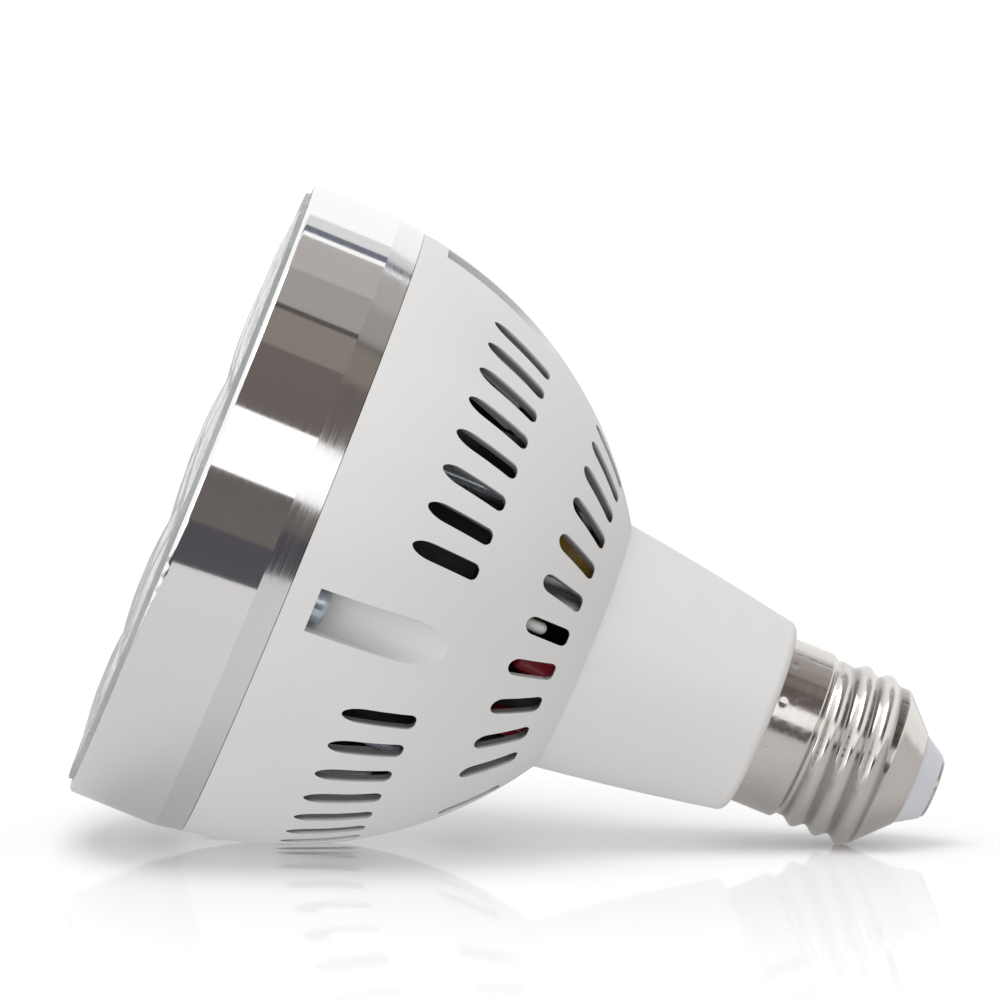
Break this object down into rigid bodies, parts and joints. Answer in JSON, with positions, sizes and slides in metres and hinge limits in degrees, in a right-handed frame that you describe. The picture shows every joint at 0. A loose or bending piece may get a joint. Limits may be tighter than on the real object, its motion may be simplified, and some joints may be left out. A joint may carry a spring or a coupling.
{
  "type": "par spotlight bulb",
  "caption": "LED reflector spotlight bulb with a polished aluminium front ring, vented white housing, inner cooling fan and an E27 screw cap.",
  "frame": {"origin": "middle of the lens face, on the plane of the lens cells' tops, where the lamp stands on its head", "axes": "+Z along the lamp's axis from the lens to the screw cap, -Y through one of the screw pockets"},
  "size_m": [0.096, 0.096, 0.1196],
  "materials": {
    "clear_plastic": "clear moulded acrylic with a slight frost on the cells",
    "turned_aluminium": "polished outside band, brushed rear band, as-cast inside",
    "white_plastic": "white satin moulding",
    "zinc_steel": "zinc plated",
    "nickel_shell": "bright nickel plate, rolled thread",
    "pale_insulator": "pale lilac white, smooth",
    "contact_metal": "tinned",
    "white_board": "white solder mask on an aluminium core",
    "chip_ceramic": "yellow phosphor under a clear dome",
    "black_plastic": "black satin moulding",
    "grey_steel": "plain steel",
    "ferrite": "dark grey ferrite",
    "bronze": "oiled sintered bronze",
    "copper": "enamelled copper wire",
    "green_board": "green solder mask",
    "yellow_tape": "yellow polyester tape",
    "plain_aluminium": "mill finish",
    "red_coating": "dipped red epoxy",
    "dark_sleeve": "shrunk plastic sleeve",
    "white_insulation": "silicone insulation",
    "red_insulation": "silicone insulation"
  },
  "bodies": {
    "lamp": {"lens_plate": "clear_plastic", "heat_sink": "turned_aluminium", "rear_housing": "white_plastic", "housing_screws": "zinc_steel", "screw_cap": "nickel_shell", "cap_insulator": "pale_insulator", "centre_contact": "contact_metal", "led_board": "white_board", "board_screws": "zinc_steel", "fan_frame": "black_plastic", "fan_bearing": "bronze", "stator_core": "grey_steel", "stator_coils": "copper", "fan_board": "green_board", "fan_screws": "zinc_steel", "driver_board": "green_board", "driver_screws": "zinc_steel", "transformer_core": "ferrite", "transformer_winding": "yellow_tape", "heat_spreader": "plain_aluminium", "switch_transistor": "black_plastic", "red_capacitor": "red_coating", "small_capacitor": "red_coating", "choke": "dark_sleeve", "bulk_capacitor": "dark_sleeve", "bridge_rectifier": "black_plastic", "white_lead": "white_insulation", "red_lead": "red_insulation", "live_lead": "red_insulation", "neutral_lead": "white_insulation", "fan_lead_1": "red_insulation", "fan_lead_2": "dark_sleeve", "led_chip_01": "chip_ceramic", "led_chip_02": "chip_ceramic", "led_chip_03": "chip_ceramic", "led_chip_04": "chip_ceramic", "led_chip_05": "chip_ceramic", "led_chip_06": "chip_ceramic", "led_chip_07": "chip_ceramic", "led_chip_08": "chip_ceramic", "led_chip_09": "chip_ceramic", "led_chip_10": "chip_ceramic", "led_chip_11": "chip_ceramic", "led_chip_12": "chip_ceramic"},
    "fan_rotor": {"fan_impeller": "black_plastic", "rotor_yoke": "grey_steel", "rotor_magnet": "ferrite", "fan_shaft": "grey_steel"}
  },
  "joints": [
    {"name": "fan_spin", "type": "hinge", "parent": "lamp", "child": "fan_rotor", "pos_m": [0, 0, 0.0384], "axis": [0, 0, 1], "continuous": true}
  ]
}
